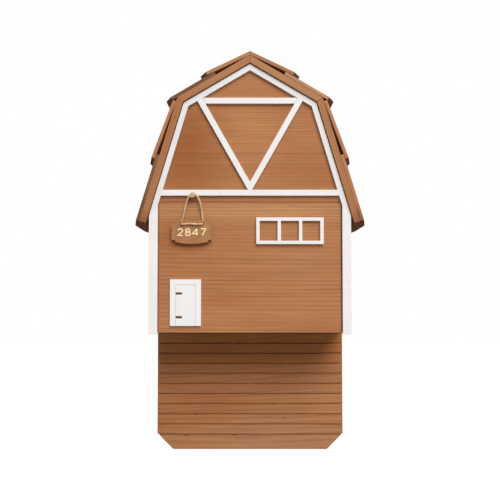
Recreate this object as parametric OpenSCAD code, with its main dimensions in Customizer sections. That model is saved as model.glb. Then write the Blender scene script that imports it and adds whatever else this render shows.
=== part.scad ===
// Barn-shaped bat box with a lapped gambrel roof, three roosting chambers open from below
// and a grooved landing board that hangs under them. The rear face of the backboard lies on
// y = 0, the front looks along -y, and z = 0 is the level of the entrance. Millimetres.

/* [Body] */
// Width across the outer faces of the side walls
body_w = 313; // [270:1:380]
// Height of the side walls' outer faces, from the entrance to the roof
wall_h = 185.1; // [154:0.1:220]
// Width between the two knees, where the roof changes pitch
knee_w = 208.2; // [170:0.1:250]
// Height of the knees above the entrance
knee_h = 358.7; // [320:0.1:390]
// Height of the ridge above the entrance, under the roof boards
ridge_h = 420.1; // [400:0.1:510]
// Thickness of the side walls
wall_t = 13.6; // [10:0.1:20]
// Thickness of the backboard
back_t = 18; // [12:0.5:25]
// Thickness of the front panels
front_t = 15; // [10:0.5:22]

/* [Chambers] */
// Depth of each of the three roosting chambers
chamber_d = 20; // [15:0.5:32]
// Thickness of the two baffles between the chambers
baffle_t = 10; // [6:0.5:16]
// Height of the baffles' lower edges above the entrance
baffle_lift = 20; // [5:1:60]
// Height of the air space between the baffles' tops and the ridge
baffle_air = 90; // [70:1:130]
// Clearance between the baffles' sloping edges and the roof
baffle_clear = 3; // [1:0.5:8]

/* [Landing board] */
// Drop of the landing board below the entrance
landing_h = 205.2; // [120:0.1:280]
// Leg of the 45 degree cut at each lower corner
landing_cut = 26.8; // [10:0.5:50]
// Distance from one foothold groove to the next
groove_pitch = 17.1; // [12:0.1:30]
// Width of a foothold groove
groove_w = 2; // [1:0.1:4]
// Depth of a foothold groove
groove_d = 2; // [1:0.1:4]
// Distance from the lower edge of the landing board to the lowest groove
groove_margin = 24.6; // [15:0.1:60]
// Distance from the ridge down to the highest groove inside the chambers
groove_top = 85; // [60:1:150]

/* [Roof boards] */
// Thickness of the four roof boards
deck_t = 10.4; // [8:0.1:16]
// Drop of the eaves' inner corners below the tops of the side walls
eave_drop = 27.5; // [8:0.5:60]
// Overhang of the roof in front of the white trim
roof_over = 3; // [3:0.5:30]
// Angle from the level of the cut across the lower end of the roof at each eave
eave_a = 33; // [15:1:45]
// Leg of the clipped front corner across the roof board and the eave course at each eave
deck_clip = 13; // [3:0.5:20]

/* [Shingle boards] */
// Thickness of the shingle boards
shingle_t = 5.2; // [4:0.1:9]
// Length of the two ridge courses
ridge_course = 83.5; // [70:0.5:105]
// Lap of the ridge courses over the knee courses
upper_lap = 22; // [15:1:35]
// Overhang of the knee courses beyond the tops of the wall courses
knee_over = 10; // [3:0.5:15]
// Length of the two wall courses, below the knees
wall_course = 105; // [85:1:140]
// Lap of the wall courses over the eave courses
lower_lap = 17; // [12:1:35]
// Leg of the clipped front corner at the lower end of the other shingle boards
shingle_clip = 9.5; // [3:0.5:15]
// Clearance between a lapping board and the corner that it rests on
lap_gap = 0.1; // [0.05:0.05:0.5]
// Clearance between the top of a wall course and the underside of the knee course
butt_gap = 0.5; // [0.2:0.1:3]

/* [Trim] */
// Distance from the roof boards to the inner edges of the rake strips
trim_w = 9.6; // [6:0.1:18]
// Gap between the roof boards and the rake strips
trim_gap = 1.2; // [0.2:0.1:3]
// Drop of the corner strips below the front panel
strip_drop = 1.8; // [0:0.1:6]
// Width of the two braces
brace_w = 8.8; // [5:0.1:16]
// Thickness of all strips on the front
trim_t = 4; // [2:0.5:8]
// Width of the two level rails
rail_w = 9; // [6:0.5:16]
// Height of the middle rail's lower edge above the tops of the side walls
rail_rise = 27.4; // [24:0.1:60]
// Distance of the collar's lower edge below the knees
collar_drop = 2.3; // [1.5:0.1:20]
// Width of the two braces together, where they stand on the middle rail
brace_foot_w = 6.3; // [4:0.1:14]
// Width across the outer corners of the braces' heads
brace_head_w = 164; // [130:1:175]
// Distance from the middle rail's lower edge down to the joint between the front panels
seam_drop = 9.8; // [4:0.1:18]

/* [Window] */
// Width of the window frame
window_w = 104.4; // [80:0.1:130]
// Height of the window frame
window_h = 41.3; // [30:0.1:60]
// Width of the frame's bars
window_bar = 5.2; // [4:0.1:10]
// Number of panes side by side
window_panes = 3; // [1:1:5]
// Distance from the centre line of the box to the centre of the window
window_x = 61.8; // [60:0.1:75]
// Distance from the middle rail down to the top of the window
window_drop = 34; // [10:0.5:60]

/* [Door] */
// Width of the door plate
door_w = 47.8; // [35:0.1:60]
// Height of the door plate
door_h = 71.7; // [50:0.1:95]
// Thickness of the door plate
door_t = 3; // [2:0.5:6]
// Distance from the centre line of the box to the centre of the door
door_x = 99.6; // [60:0.1:108]
// Height of the door's lower edge above the entrance
door_lift = 11; // [2:0.1:40]
// Distance of the scored door outline from the plate's sides and top
score_inset = 9; // [5:0.1:15]
// Width of the scored line
score_w = 0.8; // [0.4:0.1:1.5]
// Depth of the scored line
score_d = 0.6; // [0.3:0.1:1]
// Length of the hinge slots
hinge_l = 10.4; // [5:0.1:15]
// Height of the hinge slots, the diameter of their knuckles
hinge_h = 3.8; // [2:0.1:5]
// Number of round knuckles in a hinge slot
hinge_knuckles = 3; // [2:1:4]
// Heights of the hinge slots' centres above the plate's lower edge
hinge_levels = [13.5, 50]; // each above 5 and below the plate's height less 15

/* [Hanging sign] */
// Distance from the centre line of the box to the nail
nail_x = 88.7; // [70:0.1:95]
// Height of the nail above the middle rail's lower edge
nail_rise = 1.2; // [1:0.1:7]
// Diameter of the nail
nail_d = 1.8; // [1.5:0.1:3]
// Length of the nail in front of the middle rail
nail_l = 5; // [3:0.5:8]
// Width of the sign
sign_w = 62.3; // [55:0.1:70]
// Height of the sign's straight sides
sign_side_h = 25; // [22:0.5:30]
// Width of the step at each corner of the sign
sign_step_w = 5.6; // [3:0.2:8]
// Height of the step at each corner of the sign
sign_step_h = 2.8; // [1.5:0.1:4]
// Rise of the arched top and bottom edges above the steps
sign_arch = 3.4; // [1.5:0.1:6]
// Thickness of the sign
sign_t = 3; // [3:0.1:3.2]
// Diameter of the two holes in the sign
sign_hole_d = 5; // [4.8:0.1:5.4]
// Diameter of the twine
twine_d = 3; // [2:0.1:3]

/* [Hidden] */

cedar = "#b5794c";
cedar_dark = "#96603c";
cedar_light = "#c48e5f";
white_paint = "#f2f2f0";
plaque = "#b58256";
jute = "#d9b88f";
steel = "#8d8d8d";

big = 1000;  // longer than any piece, for the ends of cutting shapes
$fn = 48;

// Depths, measured from the wall that the box hangs on
body_d = back_t + 3 * chamber_d + 2 * baffle_t + front_t;
face_y = -body_d;
roof_d = body_d + trim_t + roof_over;

// Outline of the body
half_w = body_w / 2;
inner_x = half_w - wall_t;
knee_x = knee_w / 2;
upper_a = atan2(ridge_h - knee_h, knee_x);           // upper pitch, from the level
lower_a = atan2(half_w - knee_x, knee_h - wall_h);   // lower pitch, from the upright

// Height of the eaves and the trim
eave_h = wall_h - eave_drop;
rail_z = wall_h + rail_rise;
rail_top_z = rail_z + rail_w;
collar_z = knee_h - collar_drop;
seam_z = rail_z - seam_drop;

// Lines parallel to the roof's inner faces, a distance d outside them (inside when negative)
function upper_z(x, d) = ridge_h + d / cos(upper_a) - x * tan(upper_a);
function lower_x(z, d) = knee_x + d / cos(lower_a) + (knee_h - z) * tan(lower_a);
function lower_z(x, d) = knee_h - (x - knee_x - d / cos(lower_a)) / tan(lower_a);
function knee(d) =
    let (
        reach = knee_x + d / cos(lower_a) - (ridge_h - knee_h + d / cos(upper_a)) * tan(lower_a),
        x = reach / (1 - tan(upper_a) * tan(lower_a))
    )
    [x, upper_z(x, d)];

// The cut across the roof's lower end: a step along it takes one unit of the roof's thickness
eave_step = [cos(eave_a), sin(eave_a)] / cos(eave_a - lower_a);
function eave(d) = [lower_x(eave_h, 0), eave_h] + d * eave_step;
lower_out = [cos(lower_a), sin(lower_a)];  // square out of the lower slope

// Points on the outside of the roof boards: s down the slope, n out of it
ridge_out = [0, upper_z(0, deck_t)];
knee_out = knee(deck_t);
function on_upper(s, n) = ridge_out + s * [cos(upper_a), -sin(upper_a)] + n * [sin(upper_a), cos(upper_a)];
function on_lower(s, n) = knee_out + s * [sin(lower_a), -cos(lower_a)] + n * lower_out;

// Places of the shingle courses along the slopes
turn_a = upper_a + lower_a;
wall_start = shingle_t * (tan(turn_a) + (shingle_t + lap_gap) / (wall_course - lower_lap)) + butt_gap;
eave_start = wall_start + wall_course - lower_lap;
knee_start = ridge_course - upper_lap;
knee_end = norm(knee_out - ridge_out) + wall_start * sin(turn_a) + shingle_t * cos(turn_a) + knee_over;

// The braces lean at brace_a from the upright between the middle rail and the upper rakes
brace_head = [brace_head_w / 2, upper_z(brace_head_w / 2, -trim_w)];
brace_a = atan2(brace_head.x - brace_foot_w / 2, brace_head.y - rail_top_z);
brace_in = [brace_foot_w / 2 - brace_w * cos(brace_a), rail_top_z + brace_w * sin(brace_a)];
function brace_in_x(z) = brace_in.x + (z - brace_in.y) * tan(brace_a);
function rake_in_x(z) = (upper_z(0, -trim_w) - z) / tan(upper_a);

// The sign hangs on its twine from the nail, in front of the lower panel
nail_at = [-nail_x, face_y, rail_z + nail_rise];
sign_centre = [-1.2, -57.7];
sign_gap = 3.4;
hole_spacing = 33;
hole_rise = 12;

// Closed route of the twine from the nail: right of it, in front of the panel's face, above it
twine_route = [
    [0, -6, 2.5], [-1.3, -6, 2.1], [-2.8, -6, 0.6], [-4.6, -6, -1.6], [-6.6, -5.9, -4.3], [-8.3, -5.6, -7.8],
    [-9.6, -5.1, -12.2], [-10.8, -4.5, -17], [-12, -3.8, -22], [-13.2, -3, -27], [-14.4, -2.2, -32],
    [-15.6, -1.8, -36.5], [-16.9, -1.7, -40.6], [-17.5, -1.7, -42.8], [-17.7, -2, -44.3],
    [-17.7, -2.8, -45.2], [-17.7, -3.9, -45.6], [-17.7, -5.9, -45.8], [-17.4, -7, -46], [-16.6, -7.8, -46.1],
    [-15.5, -8.1, -46.2], [-11, -8.1, -45.8], [-6, -8.1, -45.3], [-1, -8.1, -45.3], [4, -8.1, -45.9],
    [8.5, -8.1, -46.2], [13.1, -8.1, -45.9], [14.2, -7.8, -45.8], [15, -7, -45.7], [15.3, -5.9, -45.7],
    [15.3, -3.9, -45.6], [15.3, -2.8, -45.2], [15.3, -2, -44.3], [15.3, -1.7, -42.8], [15.2, -1.8, -38.5],
    [15, -2.3, -33.5], [14.3, -3.1, -27.5], [13.3, -4.1, -21], [12.1, -5, -14.5], [10.6, -5.6, -9.2],
    [8.4, -5.9, -4.6], [5.8, -6, -1.4], [3, -6, 0.6], [1.3, -6, 2.1],
];
twine_sides = 8;

// A plate with its outline in the x-z plane: its rear face at y, its thickness towards the front
module plate(y, t) {
    translate([0, y, 0])
        rotate([90, 0, 0])
            linear_extrude(t)
                children();
}

// The right-hand piece as it is, or mirrored to the left
module hand(side) {
    if (side == "left") mirror([1, 0, 0]) children();
    else children();
}

// Cuts the front corner off the lower end of a board; at is on the end, out points through the board
module clip_corner(at, out, leg) {
    spare = leg;
    translate([at.x, 0, at.y])
        rotate([0, atan2(out.x, out.y), 0])
            translate([0, -roof_d, -big / 2])
                linear_extrude(big)
                    polygon([[-leg - spare, -spare], [spare, leg + spare], [spare, -spare]]);
}

// A roof board or shingle board of the given section, with its lower front corner clipped
module roof_board(section, at, out, leg) {
    difference() {
        plate(0, roof_d) polygon(section);
        clip_corner(at, out, leg);
    }
}

function mirrored(points) = [for (i = [len(points) - 1:-1:0]) [-points[i].x, points[i].y]];

// Body

module backboard() {
    side = [
        [landing_cut - half_w, -landing_h], [half_w - landing_cut, -landing_h],
        [half_w, landing_cut - landing_h], [half_w, wall_h], knee(0),
    ];
    groove_z0 = groove_margin - landing_h;
    groove_n = floor((ridge_h - groove_top - groove_z0) / groove_pitch);
    color(cedar)
        difference() {
            plate(0, back_t)
                polygon(concat(
                    side,
                    [[0, ridge_h]],
                    [[-knee_x, knee_h], [-half_w, wall_h], [-half_w, landing_cut - landing_h]]
                ));
            for (i = [0:groove_n])
                translate([-big / 2, -back_t - groove_d, groove_z0 + i * groove_pitch - groove_w / 2])
                    cube([big, 2 * groove_d, groove_w]);
        }
}

module side_wall(side) {
    color(white_paint)
        hand(side)
            plate(-back_t, body_d - back_t)
                polygon([[inner_x, 0], [half_w, 0], [half_w, wall_h], [inner_x, lower_z(inner_x, 0)]]);
}

module front_panel_lower() {
    color(cedar)
        plate(face_y + front_t, front_t)
            translate([-inner_x, 0])
                square([2 * inner_x, seam_z]);
}

module front_panel_upper() {
    edge = [[inner_x, seam_z], [inner_x, lower_z(inner_x, 0)], knee(0)];
    color(cedar)
        plate(face_y + front_t, front_t)
            polygon(concat(edge, [[0, ridge_h]], mirrored(edge)));
}

// Baffle number i from the rear, held between the side walls and open to the air over its top
module roost_baffle(i) {
    edge = [[inner_x, baffle_lift], [inner_x, lower_z(inner_x, -baffle_clear)], knee(-baffle_clear)];
    color(cedar_dark)
        plate(-back_t - i * chamber_d - (i - 1) * baffle_t, baffle_t)
            intersection() {
                polygon(concat(edge, [[0, upper_z(0, -baffle_clear)]], mirrored(edge)));
                translate([-inner_x, 0])
                    square([2 * inner_x, ridge_h - baffle_air]);
            }
}

// Roof

module roof_board_upper(side) {
    color(cedar)
        hand(side)
            plate(0, roof_d)
                polygon([[0, ridge_h], knee(0), knee_out, ridge_out]);
}

module roof_board_lower(side) {
    color(cedar)
        hand(side)
            roof_board([knee(0), eave(0), eave(deck_t), knee_out], eave(0), lower_out, deck_clip);
}

// The ridge course lies on the ridge and on the upper edge of the knee course
module shingle_ridge(side) {
    a = upper_a - atan((shingle_t + lap_gap) / knee_start);
    down = [cos(a), -sin(a)];
    out = [sin(a), cos(a)];
    foot = ridge_out + ridge_course * down;
    color(cedar_light)
        hand(side)
            roof_board(
                [ridge_out, foot, foot + shingle_t * out, ridge_out + [0, shingle_t / cos(a)]],
                foot, out, shingle_clip
            );
}

module shingle_knee(side) {
    color(cedar_dark)
        hand(side)
            roof_board(
                [
                    on_upper(knee_start, 0), on_upper(knee_end, 0),
                    on_upper(knee_end, shingle_t), on_upper(knee_start, shingle_t),
                ],
                on_upper(knee_end, 0), [sin(upper_a), cos(upper_a)], shingle_clip
            );
}

// The wall course lies on the lower roof board and on the upper edge of the eave course
module shingle_wall(side) {
    a = lower_a + atan((shingle_t + lap_gap) / (eave_start - wall_start));
    down = [sin(a), -cos(a)];
    out = [cos(a), sin(a)];
    head = on_lower(wall_start, 0);
    foot = head + wall_course * down;
    color(cedar_light)
        hand(side)
            roof_board(
                [head, foot, foot + shingle_t * out, head + shingle_t * out],
                foot, out, shingle_clip
            );
}

module shingle_eave(side) {
    color(cedar_dark)
        hand(side)
            roof_board(
                [
                    on_lower(eave_start, 0), eave(deck_t),
                    eave(deck_t + shingle_t), on_lower(eave_start, shingle_t),
                ],
                eave(0), lower_out, deck_clip
            );
}

// White trim on the front

// Joint between the lower rakes and the corner strips, from its inner to its outer end
corner_joint = [[inner_x, lower_z(inner_x, -trim_w)], [half_w, lower_z(half_w, -trim_gap)]];

module trim(side) {
    color(white_paint)
        hand(side)
            plate(face_y, trim_t)
                children();
}

module rake_upper(side) {
    trim(side)
        polygon([[0, upper_z(0, -trim_gap)], [0, upper_z(0, -trim_w)], knee(-trim_w), knee(-trim_gap)]);
}

module rake_lower(side) {
    trim(side)
        polygon(concat([knee(-trim_gap), knee(-trim_w)], corner_joint));
}

module corner_strip(side) {
    trim(side)
        polygon(concat(corner_joint, [[half_w, -strip_drop], [inner_x, -strip_drop]]));
}

module collar_rail() {
    top_z = collar_z + rail_w;
    edge = [[brace_in_x(collar_z), collar_z], [min(brace_in_x(top_z), rake_in_x(top_z)), top_z]];
    trim("right")
        polygon(concat(edge, mirrored(edge)));
}

module middle_rail() {
    edge = [[lower_x(rail_z, -trim_w), rail_z], [lower_x(rail_top_z, -trim_w), rail_top_z]];
    trim("right")
        polygon(concat(edge, mirrored(edge)));
}

module brace(side) {
    fork_z = brace_in.y - brace_in.x / tan(brace_a);
    head_z = upper_z(0, -trim_w) - brace_in.y;
    head_x = (brace_in.x + head_z * tan(brace_a)) / (1 + tan(upper_a) * tan(brace_a));
    trim(side)
        polygon([
            [0, rail_top_z], [brace_foot_w / 2, rail_top_z], brace_head,
            [head_x, upper_z(head_x, -trim_w)], [0, fork_z],
        ]);
}

// Window, door and sign

module window_frame() {
    pane_w = (window_w - (window_panes + 1) * window_bar) / window_panes;
    color(white_paint)
        plate(face_y, trim_t)
            translate([window_x - window_w / 2, rail_z - window_drop - window_h])
                difference() {
                    square([window_w, window_h]);
                    for (i = [0:window_panes - 1])
                        translate([window_bar + i * (pane_w + window_bar), window_bar])
                            square([pane_w, window_h - 2 * window_bar]);
                }
}

module door() {
    leaf_w = door_w - 2 * score_inset;
    leaf_h = door_h - score_inset;
    slot_x = score_inset - score_w / 2 + hinge_h / 2;  // each slot starts in the scored line
    knuckle_pitch = (hinge_l - hinge_h) / (hinge_knuckles - 1);
    color(white_paint)
        translate([-door_x - door_w / 2, face_y, door_lift])
            difference() {
                plate(0, door_t)
                    difference() {
                        square([door_w, door_h]);
                        for (level = hinge_levels, i = [0:hinge_knuckles - 1])
                            translate([slot_x + i * knuckle_pitch, level])
                                circle(d = hinge_h);
                    }
                // scored outline of the door leaf, open at the foot
                plate(score_d - door_t, 2 * score_d)
                    difference() {
                        translate([score_inset - score_w, -1])
                            square([leaf_w + 2 * score_w, leaf_h + score_w + 1]);
                        translate([score_inset, -2])
                            square([leaf_w, leaf_h + 2]);
                    }
            }
}

// Plaque with stepped corners and arched top and bottom edges
module sign() {
    arch_half = sign_w / 2 - sign_step_w;
    shoulder = sign_side_h / 2 + sign_step_h;
    arch_r = (arch_half ^ 2 + sign_arch ^ 2) / (2 * sign_arch);
    color(plaque)
        translate([nail_at.x + sign_centre.x, 0, nail_at.z + sign_centre.y])
            plate(face_y - sign_gap, sign_t)
                difference() {
                    union() {
                        square([sign_w, sign_side_h], center = true);
                        intersection() {
                            square([2 * arch_half, 2 * (shoulder + sign_arch)], center = true);
                            translate([0, shoulder + sign_arch - arch_r]) circle(arch_r, $fn = 360);
                            translate([0, arch_r - shoulder - sign_arch]) circle(arch_r, $fn = 360);
                        }
                    }
                    for (x = [-hole_spacing / 2, hole_spacing / 2])
                        translate([x, hole_rise]) circle(d = sign_hole_d);
                }
}

module sign_nail() {
    color(steel)
        translate([nail_at.x, face_y - trim_t, nail_at.z])
            rotate([90, 0, 0])
                cylinder(d = nail_d, h = nail_l);
}

// Ring of points around place i of a closed route
function unit(v) = v / norm(v);
function twine_ring(route, i) =
    let (
        n = len(route),
        along = unit(route[(i + 1) % n] - route[(i + n - 1) % n]),
        side = unit(cross(along, [1, -1, 1])),
        up = cross(side, along)
    )
    [for (j = [0:twine_sides - 1])
        let (a = 360 * j / twine_sides)
        route[i] + twine_d / 2 * (cos(a) * side + sin(a) * up)];

module twine() {
    n = len(twine_route);
    points = [for (i = [0:n - 1]) each twine_ring(twine_route, i)];
    faces = [for (i = [0:n - 1], j = [0:twine_sides - 1])
        let (
            here = i * twine_sides,
            next = ((i + 1) % n) * twine_sides,
            k = (j + 1) % twine_sides
        )
        each [[here + j, here + k, next + k], [here + j, next + k, next + j]]];
    color(jute)
        translate(nail_at)
            polyhedron(points, faces);
}

backboard();
side_wall("left");  // side_wall_left
side_wall("right");  // side_wall_right
front_panel_lower();
front_panel_upper();
roost_baffle(1);  // roost_baffle_rear
roost_baffle(2);  // roost_baffle_front
roof_board_upper("left");  // roof_board_upper_left
roof_board_upper("right");  // roof_board_upper_right
roof_board_lower("left");  // roof_board_lower_left
roof_board_lower("right");  // roof_board_lower_right
shingle_ridge("left");  // shingle_ridge_left
shingle_ridge("right");  // shingle_ridge_right
shingle_knee("left");  // shingle_knee_left
shingle_knee("right");  // shingle_knee_right
shingle_wall("left");  // shingle_wall_left
shingle_wall("right");  // shingle_wall_right
shingle_eave("left");  // shingle_eave_left
shingle_eave("right");  // shingle_eave_right
rake_upper("left");  // rake_upper_left
rake_upper("right");  // rake_upper_right
rake_lower("left");  // rake_lower_left
rake_lower("right");  // rake_lower_right
corner_strip("left");  // corner_strip_left
corner_strip("right");  // corner_strip_right
collar_rail();
middle_rail();
brace("left");  // brace_left
brace("right");  // brace_right
window_frame();
door();
sign();
sign_nail();
twine();
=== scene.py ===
"""Looks of the barn-shaped bat box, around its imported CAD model. Metres, in the CAD model's frame.

The origin is on the wall, on the centre line and level with the entrance under the body. +Z is up, and the
front looks along -Y.
"""

import math
import random

import bpy
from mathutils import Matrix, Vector


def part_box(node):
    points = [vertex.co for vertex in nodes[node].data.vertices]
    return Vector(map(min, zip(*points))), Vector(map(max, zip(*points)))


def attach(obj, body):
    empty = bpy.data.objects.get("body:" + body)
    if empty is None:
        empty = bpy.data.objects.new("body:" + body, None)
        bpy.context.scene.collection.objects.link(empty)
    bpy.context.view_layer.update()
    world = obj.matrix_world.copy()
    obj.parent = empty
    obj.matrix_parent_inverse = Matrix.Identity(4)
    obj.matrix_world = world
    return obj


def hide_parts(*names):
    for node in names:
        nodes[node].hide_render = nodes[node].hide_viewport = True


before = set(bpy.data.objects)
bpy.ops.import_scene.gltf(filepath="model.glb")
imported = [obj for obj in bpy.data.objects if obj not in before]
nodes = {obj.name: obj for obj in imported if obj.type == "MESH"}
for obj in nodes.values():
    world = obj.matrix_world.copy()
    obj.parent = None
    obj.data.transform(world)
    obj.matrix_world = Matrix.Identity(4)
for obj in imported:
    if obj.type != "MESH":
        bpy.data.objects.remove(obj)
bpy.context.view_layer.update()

MM = 0.001
ALONG_X, ALONG_Y, UPRIGHT = Vector((1, 0, 0)), Vector((0, 1, 0)), Vector((0, 0, 1))
FORWARD = -ALONG_Y
ASKEW = Vector((0.31, 0.52, 0.79))  # a direction that no tube runs along

# Places taken from the frame

ridge_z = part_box("rake_upper_right")[1].z
knee_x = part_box("rake_upper_right")[1].x
knee_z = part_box("rake_lower_right")[1].z
half_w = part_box("side_wall_right")[1].x
wall_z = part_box("rake_lower_right")[0].z
seam_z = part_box("front_panel_lower")[1].z
panel_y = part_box("front_panel_lower")[0].y
trim_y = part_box("corner_strip_right")[0].y
roof_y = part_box("roof_board_upper_right")[0].y
upper_pitch = math.atan2(ridge_z - knee_z, knee_x)  # from the level
lower_pitch = math.atan2(half_w - knee_x, knee_z - wall_z)  # from the upright

# The roof boards' outer faces, on which the shingle courses lie: the ridge, the right knee and the right eave

deck_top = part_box("roof_board_upper_right")[1].z
deck_knee_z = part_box("roof_board_lower_right")[1].z
deck_knee = Vector(((deck_top - deck_knee_z) / math.tan(upper_pitch), 0, deck_knee_z))
deck_eave = Vector((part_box("roof_board_lower_right")[1].x, 0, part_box("shingle_eave_right")[0].z))
deck_down = (deck_eave - deck_knee).normalized()


def at(x, z):
    """A place on the front, x to the right of the centre line and z above the entrance, both in mm."""
    return Vector((x, 0, z)) * MM


# Node trees


def linear(colour):
    """The linear values of an sRGB colour given as #rrggbb, with alpha 1."""
    parts = [int(colour[i : i + 2], 16) / 255 for i in (1, 3, 5)]
    return [p / 12.92 if p <= 0.04045 else ((p + 0.055) / 1.055) ** 2.4 for p in parts] + [1.0]


class Tree:
    """A node tree built by short calls. A value is a number, a colour or another node's output."""

    def __init__(self, tree):
        self.tree = tree
        self.tree.nodes.clear()

    def node(self, kind, inputs=(), **settings):
        """A new node. inputs gives its sockets' values, and settings its own properties."""
        made = self.tree.nodes.new(kind)
        for key, value in settings.items():
            setattr(made, key, value)
        for key, value in dict(inputs).items():
            self.put(made.inputs[key], value)
        return made

    def put(self, socket, value):
        """Links or sets a socket."""
        if isinstance(value, bpy.types.NodeSocket):
            self.tree.links.new(value, socket)
        elif isinstance(value, str):
            socket.default_value = linear(value)
        else:
            socket.default_value = value

    def maths(self, operation, *values):
        return self.node("ShaderNodeMath", dict(enumerate(values)), operation=operation).outputs[0]

    def vector(self, operation, a, b=(0, 0, 0)):
        made = self.node("ShaderNodeVectorMath", {0: a, 1: b}, operation=operation)
        return made.outputs["Value" if operation in ("DOT_PRODUCT", "LENGTH") else "Vector"]

    def combine(self, x, y, z):
        return self.node("ShaderNodeCombineXYZ", {0: x, 1: y, 2: z}).outputs[0]

    def noise(self, vector, stretch, detail=2.0, rough=0.5):
        """Noise whose grain size along each axis is one over stretch."""
        scaled = self.vector("MULTIPLY", vector, stretch)
        inputs = {"Vector": scaled, "Scale": 1.0, "Detail": detail, "Roughness": rough}
        return self.node("ShaderNodeTexNoise", inputs).outputs["Fac"]

    def spread(self, value, low, high):
        """value mapped from low..high to 0..1, and held there."""
        inputs = {"Value": value, "From Min": low, "From Max": high}
        return self.node("ShaderNodeMapRange", inputs).outputs["Result"]

    def scale(self, value, low, high):
        """value from 0..1 mapped to low..high."""
        inputs = {"Value": value, "To Min": low, "To Max": high}
        return self.node("ShaderNodeMapRange", inputs).outputs["Result"]

    def mix(self, share, a, b, blend="MIX"):
        """The colours a and b mixed. 6 and 7 are the node's colour sockets, and 2 is its colour output."""
        made = self.node("ShaderNodeMix", data_type="RGBA", blend_type=blend)
        self.put(made.inputs["Factor"], share)
        self.put(made.inputs[6], a)
        self.put(made.inputs[7], b)
        return made.outputs[2]

    def shade(self, colour, amount):
        """colour times a grey value."""
        return self.mix(1.0, colour, self.combine(amount, amount, amount), "MULTIPLY")


class Material(Tree):
    """A material whose node tree ends in one Principled shader."""

    def __init__(self, name):
        self.material = bpy.data.materials.new(name)
        self.material.use_nodes = True
        super().__init__(self.material.node_tree)
        self.place = self.node("ShaderNodeTexCoord").outputs["Object"]

    def facing(self, direction, low, high, both=False):
        """0 to 1 as the cosine between the surface's normal and a direction goes from low to high. both
        counts the opposite direction too."""
        normal = self.node("ShaderNodeNewGeometry").outputs["Normal"]
        cosine = self.vector("DOT_PRODUCT", normal, direction)
        if both:
            cosine = self.maths("ABSOLUTE", cosine)
        return self.spread(cosine, low, high)

    def sunk(self, depth, run):
        """0 in front of a depth, along Y, and 1 from run behind it."""
        return self.spread(self.vector("DOT_PRODUCT", self.place, ALONG_Y), depth, depth + run)

    def surface(self, colour, roughness, height, depth, **uniform):
        """Ends the tree. height is 0..1, and depth is what 1 stands for in metres."""
        bump = self.node("ShaderNodeBump", {"Height": height, "Distance": depth, "Strength": 1.0})
        shader = self.node("ShaderNodeBsdfPrincipled", {"Normal": bump.outputs[0]})
        self.put(shader.inputs["Base Color"], colour)
        self.put(shader.inputs["Roughness"], roughness)
        for key, value in uniform.items():
            shader.inputs[key.replace("_", " ")].default_value = value
        end = self.node("ShaderNodeOutputMaterial", {"Surface": shader.outputs[0]})
        end.is_active_output = True
        return self.material


# Cedar

WOOD_END, ROOF_END = "#4a3125", "#613b23"  # the end grain of most boards and of the lower roof boards


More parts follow.
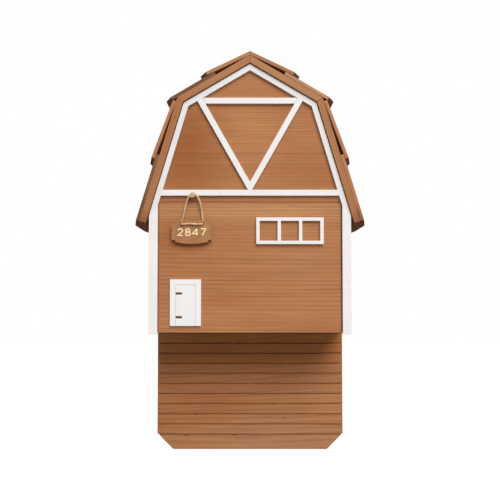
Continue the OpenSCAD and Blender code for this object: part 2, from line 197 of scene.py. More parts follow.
class Board(Material):
    """The wood of one board. grain and width are the directions of its length and its width, and seed picks
    its own cut of wood."""

    def __init__(self, name, grain, width, seed):
        super().__init__(name)
        self.seed = seed
        self.grain = Vector(grain).normalized()
        width = Vector(width).normalized()
        along = self.vector("DOT_PRODUCT", self.place, self.grain)
        self.over = self.vector("DOT_PRODUCT", self.place, width)
        self.deep = self.vector("DOT_PRODUCT", self.place, self.grain.cross(width))
        place = self.combine(along, self.over, self.deep)
        self.wood = self.vector("ADD", place, (seed, seed * 0.37, seed * 0.71))
        self.drift = self.maths("SUBTRACT", self.noise(self.wood, (1.6, 7, 7), 1.0), 0.5)
        self.ripple = self.maths("SUBTRACT", self.noise(self.wood, (9, 60, 60), 1.0), 0.5)
        self.fibre = self.noise(self.wood, (22, 900, 900), 3.0, 0.6)

    def distance(self, place, half_length, half_height):
        """Distance from a place on the face: 1 at half_length along the grain and at half_height beside it,
        which are in mm."""
        away = self.vector("SUBTRACT", self.place, place)
        along = self.vector("DOT_PRODUCT", away, self.grain / (half_length * MM))
        beside = self.vector("DOT_PRODUCT", away, self.grain.cross(ALONG_Y) / (half_height * MM))
        return self.vector("LENGTH", self.combine(along, beside, 0.0))

    def rings(self, knots, ring=3.2, pith=(0.20, -0.10), wave=5.0, stray=2.4, thin=0.15, dense=None):
        """How much of each place is the dark late wood of the growth rings, 0 to 1.

        ring is their width in mm, pith the place of their centre through the thickness and along the width in
        metres, and wave how far they wander in mm. stray is how much their widths differ, and thin how narrow
        the late wood is. dense is a band with more rings: its lower and upper edge along the width, and how
        many more."""
        swirl = 0.0
        for place, half_length, half_height, _ in knots:
            near = self.distance(place, 4 * half_length, 4 * half_height)
            swirl = self.maths("ADD", swirl, self.scale(self.spread(near, 0.0, 1.6), half_height * MM, 0.0))
        over = self.maths("SUBTRACT", self.over, pith[1])
        deep = self.maths("SUBTRACT", self.deep, pith[0])
        radius = self.vector("LENGTH", self.combine(0.0, over, deep))
        radius = self.maths("MULTIPLY_ADD", self.drift, wave * 2 * MM, radius)
        radius = self.maths("MULTIPLY_ADD", self.ripple, 1.2 * MM, radius)
        radius = self.maths("ADD", radius, swirl)
        years = self.noise(self.combine(radius, self.seed, 0.0), (70, 1, 1), 1.0)
        uneven = self.maths("SUBTRACT", years, 0.5)
        turns = self.maths("MULTIPLY_ADD", uneven, stray, self.maths("DIVIDE", radius, ring * MM))
        if dense is not None:
            low, high, more = dense
            turns = self.maths("MULTIPLY_ADD", self.spread(self.over, low, high), more, turns)
        turn = self.maths("FRACT", turns)
        rising, falling = self.spread(turn, thin, 0.82), self.scale(self.spread(turn, 0.86, 1.0), 1.0, 0.0)
        strong = self.scale(self.spread(self.noise(self.wood, (2.5, 45, 45), 2.0), 0.3, 0.7), 0.25, 1.0)
        return self.maths("MULTIPLY", self.maths("MULTIPLY", rising, falling), strong)

    def face(self, late, tones, lines, patches):
        """The colour along the grain: clouds, patches, rings, fibres, streaks, pores and mottles."""
        cloud = self.spread(self.noise(self.wood, (3.0, 16, 16), 2.0), 0.3, 0.7)
        colour = self.mix(cloud, tones[1], tones[2])
        for place, half_x, half_z, stain, share in patches:
            away = self.vector("SUBTRACT", self.place, place)
            away = self.vector("MULTIPLY", away, (1 / (half_x * MM), 0.0, 1 / (half_z * MM)))
            near = self.maths("ADD", self.drift, self.vector("LENGTH", away))
            colour = self.mix(self.scale(self.spread(near, 0.2, 1.2), share, 0.0), colour, stain)
        colour = self.mix(self.maths("MULTIPLY", late, lines), colour, tones[0])
        colour = self.shade(colour, self.scale(self.fibre, 0.84, 1.16))
        streak = self.noise(self.wood, (5, 260, 260), 2.0, 0.6)
        colour = self.shade(colour, self.scale(self.spread(streak, 0.3, 0.7), 0.93, 1.05))
        pores = self.spread(self.noise(self.wood, (70, 1700, 1700), 2.0, 0.6), 0.62, 0.78)
        colour = self.shade(colour, self.scale(pores, 1.0, 0.86))
        mottle = self.noise(self.wood, (16, 110, 110), 2.0)
        return self.shade(colour, self.scale(self.spread(mottle, 0.3, 0.7), 0.95, 1.05))

    def edges(self, colour, ends, front):
        """The end grain and, where front is a colour, the worn front edge."""
        end = self.maths("MULTIPLY", self.facing(self.grain, 0.45, 0.62, both=True), 0.92)
        colour = self.mix(end, colour, self.shade(ends, self.scale(self.fibre, 0.6, 1.5)))
        if front is None:
            return colour
        patchy = self.scale(self.spread(self.noise(self.wood, (30, 200, 200), 3.0), 0.35, 0.65), 0.55, 1.0)
        ahead = self.maths("MULTIPLY", self.facing(FORWARD, 0.5, 0.9), patchy)
        return self.mix(ahead, colour, self.shade(front, self.scale(self.fibre, 0.75, 1.25)))

    def marks(self, colour, knots, joints):
        """Knots, nicks and cracks, dashes of painted shade in gaps, and dark lines at seams and of painted
        shade beside and under parts.
        """
        for place, half_length, half_height, share in knots:
            away = self.distance(place, half_length, half_height)
            near = self.maths("MULTIPLY_ADD", self.ripple, 1.2, away)
            colour = self.mix(self.scale(self.spread(near, 0.35, 1.2), share, 0.0), colour, "#4c2a1a")
        for out, place, half, share in joints:
            off = self.maths("SUBTRACT", self.vector("DOT_PRODUCT", self.place, out), place)
            near = self.spread(self.maths("ABSOLUTE", off), 0.4 * half * MM, half * MM)
            colour = self.mix(self.scale(near, share, 0.0), colour, "#42200f")
        return colour

    def groove_floor_shade(self, colour, depth):
        """Painted shade on the floors of the grooves that are sawn deeper than depth, along Y: uneven and
        darker.
        """
        uneven = self.scale(self.spread(self.noise(self.wood, (40, 40, 40), 2.0), 0.35, 0.6), 0.05, 0.45)
        floor = self.maths("MULTIPLY", self.facing(FORWARD, 0.5, 0.9), self.sunk(depth, 0.8 * MM))
        return self.mix(self.maths("MULTIPLY", floor, uneven), colour, "#7e3e18")


def cedar(name, grain, width, tones, seed, lines=0.5, ends=WOOD_END, front=None, knots=(), patches=(),
          joints=(), grooves=None, rough=0.62, **rings):
    """Cedar of one board, whose length lies along grain and whose width lies along width.

    tones are its dark, middle and light colours, and lines is how strongly the rings show. ends is the colour
    of the end grain and front that of a worn front edge. knots are small knots, nicks, cracks and dashes of
    painted shade in gaps: place, half length along the grain and half height in mm, share. patches are soft
    patches of another colour, some of them painted sheen and painted tints of shade: place, half width and
    half height in mm, colour, share. The dark lines lie at seams or are painted shade beside and under parts:
    for each, the direction across it, its place along it, half width in mm, share. grooves is the depth,
    along Y, behind which the floors of sawn grooves lie, which get painted shade. rough is the roughness, and
    rings are the values that Board.rings takes."""
    board = Board(f"cedar_{name}", grain, width, seed)
    late = board.rings(knots, **rings)
    colour = board.face(late, tones, lines, patches)
    colour = board.edges(colour, ends, front)
    colour = board.marks(colour, knots, joints)
    # The floors of sawn grooves get painted shade.
    if grooves is not None:
        colour = board.groove_floor_shade(colour, grooves)
    height = board.maths("MULTIPLY_ADD", late, 0.5, board.maths("MULTIPLY", board.fibre, 0.5))
    roughness = board.scale(height, rough + 0.08, rough - 0.12)
    return board.surface(colour, roughness, height, 0.12 * MM, Specular_IOR_Level=0.22)


# Other materials


def white_paint(name, grain, score_shade_depth=None, shade_on_top=False, shaded_tone=1.0):
    """Satin white paint over wood: the grain and the brush show a little, with a few grey specks.

    A depth, along Y, can be given behind which the floors of the score lines lie: they get painted grey
    shade. The edges that face up can be painted brown, as painted shade of the gap under the roof boards. A
    last number is how bright the paint is; below 1 it is painted shade over all of it."""
    paint = Material(f"white_paint_{name}")
    brush = paint.noise(paint.place, [60 if abs(g) > 0.5 else 900 for g in grain], 3.0, 0.6)
    wood = paint.noise(paint.place, [8 if abs(g) > 0.5 else 160 for g in grain], 2.0, 0.5)
    cloud = paint.noise(paint.place, (14, 14, 14), 3.0)
    speck = paint.spread(paint.noise(paint.place, (700, 700, 700), 1.0), 0.74, 0.80)
    colour = paint.mix(paint.spread(cloud, 0.3, 0.7), "#ebebeb", "#f0f0f0")
    colour = paint.mix(paint.maths("MULTIPLY", paint.spread(wood, 0.45, 0.75), 0.25), colour, "#e3e1de")
    colour = paint.mix(paint.maths("MULTIPLY", speck, 0.25), colour, "#bdb7ad")
    # Painted shade where the paint is kept darker than white.
    colour = paint.shade(colour, shaded_tone)
    # Painted shade: the floors of the score lines are painted grey.
    if score_shade_depth is not None:
        floor = paint.maths("MULTIPLY", paint.facing(FORWARD, 0.5, 0.9), paint.sunk(score_shade_depth, 0.2 * MM))
        colour = paint.mix(floor, colour, "#d0cdc8")
    # Painted shade: the edges that face up get the brown of the shaded gap under the roof boards.
    if shade_on_top:
        gap_shade_brown = paint.shade("#a4673c", paint.scale(brush, 0.7, 1.3))
        colour = paint.mix(paint.facing(UPRIGHT, 0.15, 0.25), colour, gap_shade_brown)
    height = paint.maths("MULTIPLY_ADD", wood, 0.6, paint.maths("MULTIPLY", brush, 0.4))
    return paint.surface(colour, paint.scale(brush, 0.36, 0.50), height, 0.05 * MM, Specular_IOR_Level=0.45)


def fibreboard():
    """Raw fibreboard: fine felted fibres in tan, darker on the cut edges."""
    tree = Material("plaque_fibreboard")
    felt = tree.noise(tree.place, (900, 900, 900), 4.0, 0.7)
    flecks = tree.spread(tree.noise(tree.place, (420, 420, 420), 2.0), 0.58, 0.70)
    cloud = tree.noise(tree.place, (60, 60, 60), 2.0)
    colour = tree.mix(tree.spread(cloud, 0.3, 0.7), "#9f6e49", "#b48259")
    colour = tree.shade(colour, tree.scale(felt, 0.66, 1.34))
    colour = tree.mix(tree.maths("MULTIPLY", flecks, 0.45), colour, "#8a5a3a")
    cut_edge = tree.scale(tree.facing(ALONG_Y, 0.3, 0.8, both=True), 0.75, 0.0)
    colour = tree.mix(cut_edge, colour, "#6f452a")
    return tree.surface(colour, tree.scale(felt, 0.78, 0.92), felt, 0.10 * MM, Specular_IOR_Level=0.25)


def jute():
    """Natural jute: pale golden fibres with darker strands between them."""
    tree = Material("jute_twine")
    strand = tree.noise(tree.place, (1500, 1500, 500), 3.0, 0.6)
    cloud = tree.noise(tree.place, (200, 200, 90), 2.0)
    colour = tree.mix(tree.spread(cloud, 0.3, 0.7), "#c9a078", "#e8d0b0")
    colour = tree.shade(colour, tree.scale(strand, 0.78, 1.2))
    return tree.surface(colour, tree.scale(strand, 0.85, 0.95), strand, 0.10 * MM, Specular_IOR_Level=0.2)


def cream_paint():
    """Matt cream paint, a little uneven over the fibreboard."""
    tree = Material("cream_paint")
    felt = tree.noise(tree.place, (900, 900, 900), 3.0, 0.6)
    colour = tree.mix(tree.spread(felt, 0.3, 0.75), "#fbe6bd", "#efd3a2")
    return tree.surface(colour, tree.scale(felt, 0.5, 0.7), felt, 0.05 * MM, Specular_IOR_Level=0.3)


def steel():
    """Bright steel, drawn along the nail."""
    tree = Material("steel_wire")
    drawn = tree.noise(tree.place, (1600, 120, 1600), 2.0)
    colour = tree.mix(tree.spread(drawn, 0.3, 0.7), "#8b8b8a", "#b4b3b0")
    return tree.surface(colour, tree.scale(drawn, 0.32, 0.48), drawn, 0.02 * MM, Metallic=1.0)


def slot_shade_paint():
    """Dark brown paint for the pieces that stand for the shade in the door's through-cut slots, uneven in
    places.
    """
    tree = Material("slot_shade")
    # Painted shade, patchy in places.
    worn = tree.noise(tree.place, (700, 700, 700), 3.0, 0.6)
    colour = tree.mix(tree.spread(worn, 0.35, 0.7), "#54250b", "#7f421b")
    return tree.surface(colour, tree.scale(worn, 0.45, 0.65), worn, 0.04 * MM, Specular_IOR_Level=0.3)


def filled_hole(name, fill, rim):
    """The filler over a sunk nail, a little off the colour around it."""
    tree = Material(name)
    grit = tree.noise(tree.place, (1800, 1800, 1800), 3.0)
    colour = tree.mix(tree.spread(grit, 0.35, 0.7), fill, rim)
    return tree.surface(colour, tree.scale(grit, 0.55, 0.8), grit, 0.08 * MM, Specular_IOR_Level=0.3)


# Dark, middle and light colours of the boards

TONES_BACK = ("#834a24", "#a36b41", "#b37b4f")
TONES_FRONT = ("#824722", "#a96f46", "#b67e53")
TONES_UPPER = ("#7e4522", "#ad7145", "#b97e51")
TONES_ROOF = ("#7f4822", "#a86e47", "#b67f56")
TONES_ROOF_RIGHT = ("#834d28", "#ad744b", "#bb8559")
TONES_ROOF_PALE = ("#875635", "#b27e55", "#c19167")
TONES_PALE = ("#8f5a33", "#b57d4e", "#c5915f")
TONES_ORANGE = ("#85481f", "#b0744a", "#bf885d")
TONES_PINK = ("#7c4a2c", "#ac724c", "#bd8760")
TONES_DARK = ("#4b3225", "#74503a", "#8a6246")

# Each roof board's slope, its tones on the left and on the right, and its worn front edge on the left
ROOF_BOARDS = [
    ("roof_board_upper", "upper", TONES_ROOF, TONES_ROOF_PALE, None),
    ("roof_board_lower", "lower", TONES_ROOF, TONES_ROOF_RIGHT, None),
    ("shingle_ridge", "upper", TONES_PALE, TONES_PINK, None),
    ("shingle_wall", "lower", TONES_PINK, TONES_ORANGE, None),
    ("shingle_knee", "upper", TONES_ROOF, TONES_ROOF_PALE, "#5d4030"),
    ("shingle_eave", "lower", TONES_ROOF, TONES_ROOF_RIGHT, "#69462f"),
]

# Widths in mm to which edges are rounded. All other boards are rounded by EASED_BOARD.
EASED_BOARD = 0.45
EASED = {
    "sign_nail": 0.2, "sign": 0.15, "door": 0.2, "window_frame": 0.3, "collar_rail": 0.04, "middle_rail": 0.1,
    "brace_left": 0.04, "brace_right": 0.04, "rake_upper_left": 0.1, "rake_upper_right": 0.1,
    "rake_lower_left": 0.1, "rake_lower_right": 0.1,
}


def inner_looks():
    """The backboard with its landing board, and the two roost baffles."""
    knots = [
        (at(57, -152), 3.2, 1.6, 0.45), (at(-108, -181.7), 5, 0.8, 0.85),
        (at(-26, -181.2), 7, 0.8, 0.85), (at(-92, -146.5), 3, 0.9, 0.85),
    ]
    # The first patch is a painted tint of shade: a warmer, redder colour over the top of the landing board,
    # where the body's shadow falls.
    patches = [
        (at(0, -20), 260, 52, "#b6743c", 0.9), (at(50, -190), 190, 40, "#ad805f", 0.6),
        (at(-80, -130), 70, 30, "#a9683f", 0.6), (at(120, -100), 60, 50, "#b67f57", 0.5),
    ]
    grain, width = Vector((0.999, 0, 0.04)), Vector((-0.04, 0, 0.999))
    looks = {
        "backboard": cedar("backboard", grain, width, TONES_BACK, seed=3.1, lines=0.42, knots=knots,
                           patches=patches, grooves=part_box("backboard")[0].y + 0.6 * MM,
                           ring=5.2, pith=(-0.14, -0.30), wave=20, thin=0.3),
    }
    for i, name in enumerate(("roost_baffle_rear", "roost_baffle_front")):
        looks[name] = cedar(name, ALONG_X, UPRIGHT, TONES_DARK, seed=7.7 + i, lines=0.6, rough=0.8, ring=4.2)
    return looks


def front_looks():
    """The two front panels, with a dark line at their seam, painted shade along the lowest edge and painted
    shadows of the corner strips beside them.
    """
    low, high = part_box("front_panel_lower")
    middle = Vector((0, 0, seam_z))
    # The line along the lowest edge is painted shade, where the chambers open dark under the panel.
    seam, foot_shade = (UPRIGHT, seam_z, 1.0, 0.7), (UPRIGHT, low.z, 1.0, 0.8)
    # Painted shadows that the proud corner strips cast on the panel beside them, darker on the right.
    left, right = (ALONG_X, low.x, 2.6, 0.5), (ALONG_X, high.x, 2.6, 0.8)
    board_joint = (UPRIGHT, 279 * MM, 0.9, 0.35)
    # The first patch is a painted sheen: a paler band just under the seam.
    lower_patches_and_sheen = [
        (middle + at(20, -13), 170, 20, "#c39162", 0.75), (middle + at(-120, -58), 50, 26, "#a5642f", 0.5),
        (middle + at(0, -95), 45, 16, "#ab7a49", 0.5), (middle + at(80, -100), 70, 50, "#b6815b", 0.5),
        (middle + at(-40, -150), 60, 16, "#a96738", 0.5),
    ]
    upper_patches = [
        (at(-105, 290), 75, 100, "#9b5d2f", 0.95), (at(5, 310), 50, 70, "#be8453", 0.8),
        (at(100, 235), 60, 22, "#a96e43", 0.3),
    ]
    return {
        "front_panel_lower": cedar("front_lower", ALONG_X, UPRIGHT, TONES_FRONT, seed=1.7, lines=0.47,
                                   patches=lower_patches_and_sheen, joints=[left, right, seam, foot_shade], ring=6.3,
                                   pith=(0.12, -0.25), wave=8, stray=0.8, thin=0.5,
                                   dense=(seam_z - 60 * MM, seam_z, 2.7)),
        "front_panel_upper": cedar("front_upper", ALONG_X, UPRIGHT, TONES_UPPER, seed=5.3, lines=0.42,
                                   patches=upper_patches, joints=[seam, board_joint], ring=3.4,
                                   pith=(0.25, -0.25), wave=4, thin=0.3),
    }


def course_gap_shade_lines():
    """Painted shade lines where the right knee and eave courses lie on their roof boards, seen from the
    front: the shade of the gap between each course and its board.
    """
    upper_out = Vector((math.sin(upper_pitch), 0, math.cos(upper_pitch)))
    lower_out = Vector((-deck_down.z, 0, deck_down.x))
    upper_line = [(upper_out, deck_top * upper_out.z, 1.1, 0.4)]
    lower_line = [(lower_out, deck_eave.dot(lower_out), 1.1, 0.12)]
    return {"roof_board_upper": upper_line, "shingle_knee": upper_line,
            "roof_board_lower": lower_line, "shingle_eave": lower_line}


def roof_looks(side, name):
    """The roof boards and shingle courses of one side, -1 for the left and 1 for the right."""
    left = side < 0
    down = {
        "upper": (side * math.cos(upper_pitch), 0, -math.sin(upper_pitch)),
        "lower": (side * math.sin(lower_pitch), 0, -math.cos(lower_pitch)),
    }
    eave = Vector((side * deck_eave.x, 0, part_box(f"roof_board_lower_{name}")[0].z))
    worn_eave = [(eave, 28, 34, "#7d4724", 0.9)]
    # On the right only, painted shade lines mark the gaps under the knee and eave courses.
    lines = {} if left else course_gap_shade_lines()
    # Painted shade of the gap under the right eave course: a dark dash on its line, near the eave.
    eave_gap_shade = [(deck_eave - deck_down * 22 * MM, 10, 1.0, 0.85)]
    eave_gap_shaded = () if left else ("roof_board_lower", "shingle_eave")
    looks = {}
    for i, (board, slope, left_tones, right_tones, worn_front) in enumerate(ROOF_BOARDS):
        looks[f"{board}_{name}"] = cedar(
            f"{board}_{name}", down[slope], ALONG_Y, left_tones if left else right_tones,
            seed=11.0 + 1.3 * i + 0.4 * side, ends=ROOF_END if board == "roof_board_lower" else WOOD_END,
            front=worn_front if left else None, knots=eave_gap_shade if board in eave_gap_shaded else (), patches=worn_eave,
            joints=lines.get(board, ()), ring=2.4 + 0.3 * i, pith=(-0.08 - 0.02 * i, 0.05 * side), wave=4)
    return looks


def painted_looks():
    """The white walls, strips, window frame and door."""
    level, upright = white_paint("level", ALONG_X), white_paint("upright", UPRIGHT)
    # The rakes' paint holds painted shade: a little darker all over, and brown on its edges that face up,
    # under the roof boards.
    rake = white_paint("rake", UPRIGHT, shade_on_top=True, shaded_tone=0.93)
    looks = dict.fromkeys(("collar_rail", "middle_rail", "window_frame"), level)
    for name in ("left", "right"):
        looks.update(dict.fromkeys((f"side_wall_{name}", f"corner_strip_{name}", f"brace_{name}"), upright))
        looks.update(dict.fromkeys((f"rake_upper_{name}", f"rake_lower_{name}"), rake))
    # The door's score lines get painted grey shade on their floors.
    looks["door"] = white_paint("door", UPRIGHT, score_shade_depth=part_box("door")[0].y + 0.2 * MM)
    return looks


def dress():
    """Gives every CAD node that shows its material."""
    looks = {**inner_looks(), **front_looks(), **roof_looks(-1, "left"), **roof_looks(1, "right"),
             **painted_looks(), "sign": fibreboard(), "sign_nail": steel()}
    for name, look in looks.items():
        nodes[name].data.materials.clear()
        nodes[name].data.materials.append(look)


def ease_edges():
    """Rounds the sharp edges of the boards and strips a little, as planing and sanding leave them."""
    for name, node in nodes.items():
        if name == "twine":
            continue
        weld = node.modifiers.new("weld", "WELD")
        weld.merge_threshold = 0.01 * MM
        bevel = node.modifiers.new("ease", "BEVEL")
        bevel.width = EASED.get(name, EASED_BOARD) * MM
        bevel.segments = 2
        bevel.limit_method = "ANGLE"
        bevel.angle_limit = math.radians(30)
        bevel.miter_outer = "MITER_ARC"
        normals = node.modifiers.new("normals", "WEIGHTED_NORMAL")
        normals.keep_sharp = False


# Mesh pieces


class Shape:
    """Points and faces that are gathered for one mesh."""

    def __init__(self):
        self.points, self.faces = [], []

    def add(self, points, faces):
        """Adds points, and faces that number them from 0."""
        base = len(self.points)
        self.points += points
        self.faces += [tuple(base + k for k in face) for face in faces]

    def piece(self, name, look, smooth=True):
        """Makes the mesh object, with its material, on the box."""
        mesh = bpy.data.meshes.new(name)
        mesh.from_pydata([tuple(p) for p in self.points], [], self.faces)
        mesh.materials.append(look)
        mesh.polygons.foreach_set("use_smooth", [smooth] * len(mesh.polygons))
        mesh.update()
        made = bpy.data.objects.new(name, mesh)
        bpy.context.scene.collection.objects.link(made)
        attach(made, "root")
        return made


def sides_of(along):
    """Two directions square to a route's direction and to each other."""
    side = along.cross(ASKEW).normalized()
    return side, side.cross(along)


def circle(count):
    """The angles of count points round a circle."""
    return [2 * math.pi * k / count for k in range(count)]


def tube(route, radius, sides, closed=False):
    """Points and faces of a tube along a route. radius is a number, or a function of the share of the route
    that lies behind a point."""
    n = len(route)
    points, faces = [], []
    for i, here in enumerate(route):
        ahead = route[(i + 1) % n] if closed else route[min(i + 1, n - 1)]
        behind = route[(i - 1) % n] if closed else route[max(i - 1, 0)]
        side, out = sides_of((ahead - behind).normalized())
        r = radius(i / (n - 1)) if callable(radius) else radius
        points += [here + r * (math.cos(a) * side + math.sin(a) * out) for a in circle(sides)]
    for i in range(n if closed else n - 1):
        a, b = i * sides, ((i + 1) % n) * sides
        faces += [(a + j, a + (j + 1) % sides, b + (j + 1) % sides, b + j) for j in range(sides)]
    if not closed:
        faces += [tuple(range(sides))[::-1], tuple((n - 1) * sides + j for j in range(sides))]
    return points, faces


def smooth_route(points, step):
    """Points about a step apart on a closed smooth curve through the given ones."""
    n = len(points)
    fine = []
    for i in range(n):
        before, start, end, after = (points[(i + k - 1) % n] for k in range(4))
        bend = 2 * before - 5 * start + 4 * end - after
        twist = 3 * start - before - 3 * end + after
        parts = max(1, round((end - start).length / step))
        for k in range(parts):
            t = k / parts
            fine.append(0.5 * (2 * start + (end - before) * t + bend * t * t + twist * t ** 3))
    return fine


# The twine's route, from the nail, in mm, as in the CAD source

TWINE_ROUTE = [
    (0, -6, 2.5), (-1.3, -6, 2.1), (-2.8, -6, 0.6), (-4.6, -6, -1.6), (-6.6, -5.9, -4.3), (-8.3, -5.6, -7.8),
    (-9.6, -5.1, -12.2), (-10.8, -4.5, -17), (-12, -3.8, -22), (-13.2, -3, -27), (-14.4, -2.2, -32),
    (-15.6, -1.8, -36.5), (-16.9, -1.7, -40.6), (-17.5, -1.7, -42.8), (-17.7, -2, -44.3),
    (-17.7, -2.8, -45.2), (-17.7, -3.9, -45.6), (-17.7, -5.9, -45.8), (-17.4, -7, -46), (-16.6, -7.8, -46.1),
    (-15.5, -8.1, -46.2), (-11, -8.1, -45.8), (-6, -8.1, -45.3), (-1, -8.1, -45.3), (4, -8.1, -45.9),
    (8.5, -8.1, -46.2), (13.1, -8.1, -45.9), (14.2, -7.8, -45.8), (15, -7, -45.7), (15.3, -5.9, -45.7),
    (15.3, -3.9, -45.6), (15.3, -2.8, -45.2), (15.3, -2, -44.3), (15.3, -1.7, -42.8), (15.2, -1.8, -38.5),
    (15, -2.3, -33.5), (14.3, -3.1, -27.5), (13.3, -4.1, -21), (12.1, -5, -14.5), (10.6, -5.6, -9.2),
    (8.4, -5.9, -4.6), (5.8, -6, -1.4), (3, -6, 0.6), (1.3, -6, 2.1),
]

# The knot's coils: tilt in radians, then reach and drop in mm. The last and widest lies below the others.
KNOT_COILS = [(0.45, 2.2, 0), (-0.55, 2.0, 0), (1.5, 0.9, -0.6), (0.3, 0.9, 0.6), (0.05, 3.3, 2.3)]


def twine_loop(route, frames, look):
    """Three plies twisted round the route, which stand for the plain tube."""
    plies, lay, off_centre, radius, sides = 3, 6.5 * MM, 0.80 * MM, 0.84 * MM, 8
    n = len(route)
    twists = round(sum((route[i] - route[i - 1]).length for i in range(n)) / lay)
    shape = Shape()
    for ply in range(plies):
        strand = []
        for i, (_, side, out) in enumerate(frames):
            a = 2 * math.pi * (twists * i / n + ply / plies)
            strand.append(route[i] + off_centre * (math.cos(a) * side + math.sin(a) * out))
        shape.add(*tube(strand, radius, sides, closed=True))
    loop = shape.piece("twine_loop", look)
    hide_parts("twine")


def twine_knot(nail, look):
    """The knot at the top of the loop, in front of the nail: coils that weave over and under each other."""
    radius, sides, steps = 0.95 * MM, 8, 24
    weave, rise = 0.9, 1.15  # how far a coil goes in and out and how far up and down, in mm
    middle = Vector((nail.x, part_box("sign_nail")[0].y - 0.2 * MM, nail.z - 0.4 * MM))
    shape = Shape()
    for tilt, reach, drop in KNOT_COILS:
        coil = []
        for a in circle(steps):
            flat = Vector((reach * math.cos(a), -weave * math.sin(2 * a), rise * math.sin(a))) * MM
            x = flat.x * math.cos(tilt) - flat.z * math.sin(tilt)
            z = flat.x * math.sin(tilt) + flat.z * math.cos(tilt) - drop * MM
            coil.append(middle + Vector((x, flat.y, z)))
        shape.add(*tube(coil, radius, sides, closed=True))
    shape.piece("twine_knot", look)


def twine_fibres(route, frames, look):
    """Loose fibres that stand off the twine: thin bent hairs that start off_middle mm from its middle."""
    rng = random.Random(41)
    count, sides, off_middle = 700, 3, 1.2
    shape = Shape()
    for _ in range(count):
        i = rng.randrange(len(route))
        along, side, out = frames[i]
        a = rng.uniform(0, 2 * math.pi)
        off = math.cos(a) * side + math.sin(a) * out
        drift = along * rng.choice((-1, 1))
        reach = rng.uniform(0.8, 3.2) * MM
        lift = rng.uniform(0.2, 0.9)
        turn = along.cross(off) * rng.uniform(-0.5, 0.5)
        root = route[i] + off * off_middle * MM
        hair = [root + drift * reach * t + (off * lift + turn) * reach * t * t for t in (0, 0.3, 0.6, 1)]
        shape.add(*tube(hair, lambda t: (0.07 - 0.045 * t) * MM, sides))
    shape.piece("twine_fibres", look)


def twine():
    """The twisted twine that carries the sign, with its knot and its loose fibres."""
    low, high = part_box("sign_nail")
    nail = Vector(((low.x + high.x) / 2, panel_y, (low.z + high.z) / 2))
    route = smooth_route([nail + Vector(p) * MM for p in TWINE_ROUTE], 0.45 * MM)
    n = len(route)
    frames = []
    for i in range(n):
        along = (route[(i + 1) % n] - route[i - 1]).normalized()
        frames.append((along, *sides_of(along)))
    look = jute()
    twine_loop(route, frames, look)
    twine_knot(nail, look)
    twine_fibres(route, frames, look)


# The sign's number


def arc(middle_x, middle_z, half_x, half_z, start, end, steps=14):
    """Points on an ellipse between two angles in degrees."""
    turn = [math.radians(start + (end - start) * i / steps) for i in range(steps + 1)]
    return [(middle_x + half_x * math.cos(a), middle_z + half_z * math.sin(a)) for a in turn]


# The strokes of each digit, as lines of points. A digit is 1 high.
DIGITS = {
    "2": [arc(0.30, 0.72, 0.28, 0.28, 170, -35) + [(0.02, 0.0), (0.62, 0.0)]],
    "8": [arc(0.30, 0.75, 0.23, 0.25, -90, 270, 22), arc(0.30, 0.25, 0.29, 0.25, -90, 270, 22)],
    "4": [[(0.68, 0.26), (0.0, 0.26), (0.50, 1.0)], [(0.50, 1.0), (0.50, 0.0)]],
    "7": [[(0.02, 1.0), (0.60, 1.0), (0.20, 0.0)]],
}


def ribbon(line, half, closed):
    """Left and right edges of a stroke along a line of points, mitred at its corners."""
    n = len(line)
    left, right = [], []
    for i, here in enumerate(line):
        behind = line[i - 1] if i or closed else None
        ahead = line[(i + 1) % n] if i < n - 1 or closed else None
        a = (here - behind).normalized() if behind else (ahead - here).normalized()
        b = (ahead - here).normalized() if ahead else a
        normal = Vector((-(a + b).y, (a + b).x)).normalized()
        reach = half / max(0.45, normal.dot(Vector((-a.y, a.x))))
        left.append(here + normal * reach)
        right.append(here - normal * reach)
    return left, right


def stroke(line, half, closed, front_y, rear_y):
    """Points and faces of one flat stroke along a line, between two depths."""
    n = len(line)
    points = []
    for edge in ribbon(line, half, closed):
        for y in (front_y, rear_y):
            points += [Vector((p.x, y, p.y)) for p in edge]
    left_front, left_rear, right_front, right_rear = (k * n for k in range(4))
    faces = []
    for i in range(n if closed else n - 1):
        j = (i + 1) % n
        faces += [(left_front + i, left_front + j, right_front + j, right_front + i),
                  (left_rear + j, left_rear + i, right_rear + i, right_rear + j),
                  (left_front + j, left_front + i, left_rear + i, left_rear + j),
                  (right_front + i, right_front + j, right_rear + j, right_rear + i)]
    if not closed:
        faces += [(left_front, right_front, right_rear, left_rear),
                  (left_front + n - 1, left_rear + n - 1, right_rear + n - 1, right_front + n - 1)]
    return points, faces


def sign_number(text="2847"):
    """The number on the sign, in thin strokes of cream paint that stand a little proud."""
    low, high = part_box("sign")
    height, broad, thick, gap = 10.2 * MM, 12.4 * MM, 1.9 * MM, 4.0 * MM
    widths = [max(x for line in DIGITS[c] for x, _ in line) * broad for c in text]
    total = sum(widths) + gap * (len(text) - 1)
    left_x = (low.x + high.x - total) / 2
    foot_z = (low.z + high.z) / 2 - height / 2 - 0.4 * MM
    shape = Shape()
    for c, width in zip(text, widths):
        for k, line in enumerate(DIGITS[c]):
            proud = (0.25 + 0.06 * k) * MM  # so that strokes that cross don't share a face
            flat = [Vector((left_x + x * broad, foot_z + z * height)) for x, z in line]
            closed = (flat[0] - flat[-1]).length < 0.01 * MM
            if closed:
                flat.pop()
            shape.add(*stroke(flat, thick / 2, closed, low.y - proud, low.y + 0.05 * MM))
        left_x += width + gap
    shape.piece("sign_number", cream_paint(), smooth=False)


# Nails


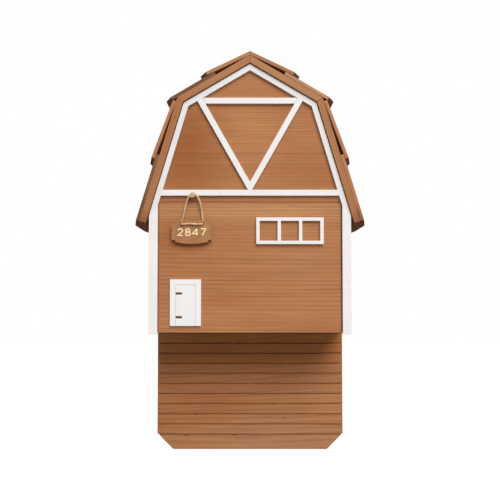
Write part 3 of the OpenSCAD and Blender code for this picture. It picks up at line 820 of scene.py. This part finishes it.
def dimple(centre, radius, depth):
    """Points and faces of a filled nail hole: a low dish with a raised rim, facing the front."""
    sides = 12
    rings = ((1.0, 0.02 * MM), (0.8, -0.06 * MM), (0.45, depth))  # each one's share of the radius, and depth
    points, faces = [], []
    for share, y in rings:
        r = radius * share
        points += [centre + Vector((r * math.cos(a), y, r * math.sin(a))) for a in circle(sides)]
    for ring in range(len(rings) - 1):
        a, b = ring * sides, (ring + 1) * sides
        faces += [(a + k, a + (k + 1) % sides, b + (k + 1) % sides, b + k) for k in range(sides)]
    faces.append(tuple((len(rings) - 1) * sides + k for k in range(sides)))
    return points, faces


def slope_x(z):
    """How far from the centre line the lower roof boards' inner faces are at a height."""
    return knee_x + (knee_z - z) * math.tan(lower_pitch)


def nails():
    """Filled brads on the white strips and two small nail holes in the roof's left front edge."""
    brad_radius, hole_radius, hollow = 0.75 * MM, 1.0 * MM, -0.02 * MM
    inside, outside = 5.2 * MM, 5.5 * MM  # from the roof boards' inner faces to the brads and to the holes
    off_middle = 1.5 * MM  # from the middle of a corner strip to its brads
    strip_x = (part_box("corner_strip_right")[0].x + half_w) / 2 + off_middle
    rail_low, rail_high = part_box("middle_rail")
    rail_z = (rail_low.z + rail_high.z) / 2
    brads = [(-strip_x, z * MM) for z in (11, 87, 170)]
    brads += [(strip_x, z * MM) for z in (10, 81, 145)]
    brads += [(x * MM, rail_z) for x in (-45, 86)]
    for side in (-1, 1):
        brads += [(side * (slope_x(z * MM) - inside), z * MM) for z in (294, 225)]
    shape = Shape()
    for x, z in brads:
        shape.add(*dimple(Vector((x, trim_y, z)), brad_radius, hollow))
    shape.piece("brads", filled_hole("brad_filler", "#aaa498", "#cdc8be"))
    shape = Shape()
    for z in (278 * MM, 335 * MM):
        shape.add(*dimple(Vector((-slope_x(z) - outside, roof_y, z)), hole_radius, hollow))
    shape.piece("roof_nails", filled_hole("nail_hole", "#4a2814", "#6b3f24"))


# Painted shade in the door's slots

# A box's faces, by its corners: four round the front, then four round the rear
BOX_FACES = [(0, 1, 2, 3), (7, 6, 5, 4), (0, 4, 5, 1), (1, 5, 6, 2), (2, 6, 7, 3), (3, 7, 4, 0)]


def knuckle(middle, radius, bulge):
    """Points and faces of a low round dome that faces the front."""
    rings, sides = 6, 16
    points = [middle]
    for ring in range(1, rings + 1):
        share = ring / rings
        r, depth = radius * share, (1 - math.sqrt(1 - share * share)) * bulge
        points += [middle + Vector((r * math.cos(a), depth, r * math.sin(a))) for a in circle(sides)]
    faces = [(0, 1 + k, 1 + (k + 1) % sides) for k in range(sides)]
    for ring in range(rings - 1):
        a, b = 1 + ring * sides, 1 + (ring + 1) * sides
        faces += [(a + k, b + k, b + (k + 1) % sides, a + (k + 1) % sides) for k in range(sides)]
    faces.append(tuple(1 + (rings - 1) * sides + k for k in range(sides))[::-1])
    return points, faces


def door_slot_shade():
    """Painted shade in the door's two through-cut slots: dark round knuckles that stand a little proud of the
    door, and a dark plate between them."""
    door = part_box("door")[0]
    first_x, pitch, radius, bulge, proud = 10.5 * MM, 3.3 * MM, 2.3 * MM, 1.4 * MM, 0.3 * MM
    count, half_plate, plate_proud, plate_depth = 3, 1.6 * MM, 0.15 * MM, 0.6 * MM
    left, right = door.x + first_x, door.x + first_x + (count - 1) * pitch
    shape = Shape()
    for level in (13.5 * MM, 50 * MM):
        z = door.z + level
        for i in range(count):
            shape.add(*knuckle(Vector((left + i * pitch, door.y - proud, z)), radius, bulge))
        low, high = z - half_plate, z + half_plate
        corners = ((left, low), (right, low), (right, high), (left, high))
        depths = (door.y - plate_proud, door.y + plate_depth)
        shape.add([Vector((x, y, corner_z)) for y in depths for x, corner_z in corners], BOX_FACES)
    shape.piece("door_slot_shade_pieces", slot_shade_paint())


# Camera, light and surroundings


def camera():
    """The photograph's view: from in front and a little below the middle, looking slightly up."""
    data = bpy.data.cameras.new("camera")
    data.lens = 43.8
    data.sensor_width = 36
    made = bpy.data.objects.new("camera", data)
    bpy.context.scene.collection.objects.link(made)
    eye, target = Vector((0, -1.056, 0.0972)), Vector((0, panel_y, 0.1282))
    made.location = eye
    made.rotation_euler = (target - eye).to_track_quat("-Z", "Y").to_euler()
    bpy.context.scene.camera = made


def key_light():
    """One wide soft light from the upper right: height is its angle above the level, turn its angle to the
    right of the front, and width how wide it is."""
    height, turn, width = math.radians(46), math.radians(21), math.radians(44)
    data = bpy.data.lights.new("key", "SUN")
    data.angle = width
    data.energy = 3.4
    made = bpy.data.objects.new("key", data)
    bpy.context.scene.collection.objects.link(made)
    across, ahead = math.cos(height) * math.sin(turn), -math.cos(height) * math.cos(turn)
    towards = Vector((across, ahead, math.sin(height)))
    made.rotation_euler = (-towards).to_track_quat("-Z", "Y").to_euler()


def white_world():
    """A world that shows as white and gives a little warm light."""
    world = bpy.data.worlds.new("world")
    bpy.context.scene.world = world
    world.use_nodes = True
    tree = Tree(world.node_tree)
    ambient = tree.node("ShaderNodeBackground", {"Color": "#fff0e4", "Strength": 0.2})
    white = tree.node("ShaderNodeBackground", {"Color": "#ffffff", "Strength": 1.0})
    ray = tree.node("ShaderNodeLightPath").outputs
    seen = tree.maths("MAXIMUM", ray["Is Camera Ray"], ray["Is Glossy Ray"])
    seen = tree.maths("MAXIMUM", seen, ray["Is Transmission Ray"])
    both = tree.node("ShaderNodeMixShader", {0: seen, 1: ambient.outputs[0], 2: white.outputs[0]})
    tree.node("ShaderNodeOutputWorld", {"Surface": both.outputs[0]})


def pale_floor():
    """A pale floor well below the box, which hangs on a wall."""
    floor_z, half, glow_when_seen = -0.75, 6.0, 0.62
    corners = [(-half, -half, floor_z), (half, -half, floor_z), (half, half, floor_z), (-half, half, floor_z)]
    look = bpy.data.materials.new("pale_floor")
    look.use_nodes = True
    tree = Tree(look.node_tree)
    matt = tree.node("ShaderNodeBsdfDiffuse", {"Color": "#b8b8b8"})
    seen = tree.node("ShaderNodeLightPath").outputs["Is Camera Ray"]
    strength = tree.maths("MULTIPLY", seen, glow_when_seen)
    glow = tree.node("ShaderNodeEmission", {"Strength": strength})
    both = tree.node("ShaderNodeAddShader", {0: matt.outputs[0], 1: glow.outputs[0]})
    tree.node("ShaderNodeOutputMaterial", {"Surface": both.outputs[0]})
    mesh = bpy.data.meshes.new("floor")
    mesh.from_pydata(corners, [], [(0, 1, 2, 3)])
    mesh.materials.append(look)
    floor = bpy.data.objects.new("floor", mesh)
    bpy.context.scene.collection.objects.link(floor)


dress()
ease_edges()
twine()
sign_number()
nails()
door_slot_shade()
camera()
white_world()
pale_floor()
key_light()
bpy.context.scene.view_settings.view_transform = "Standard"
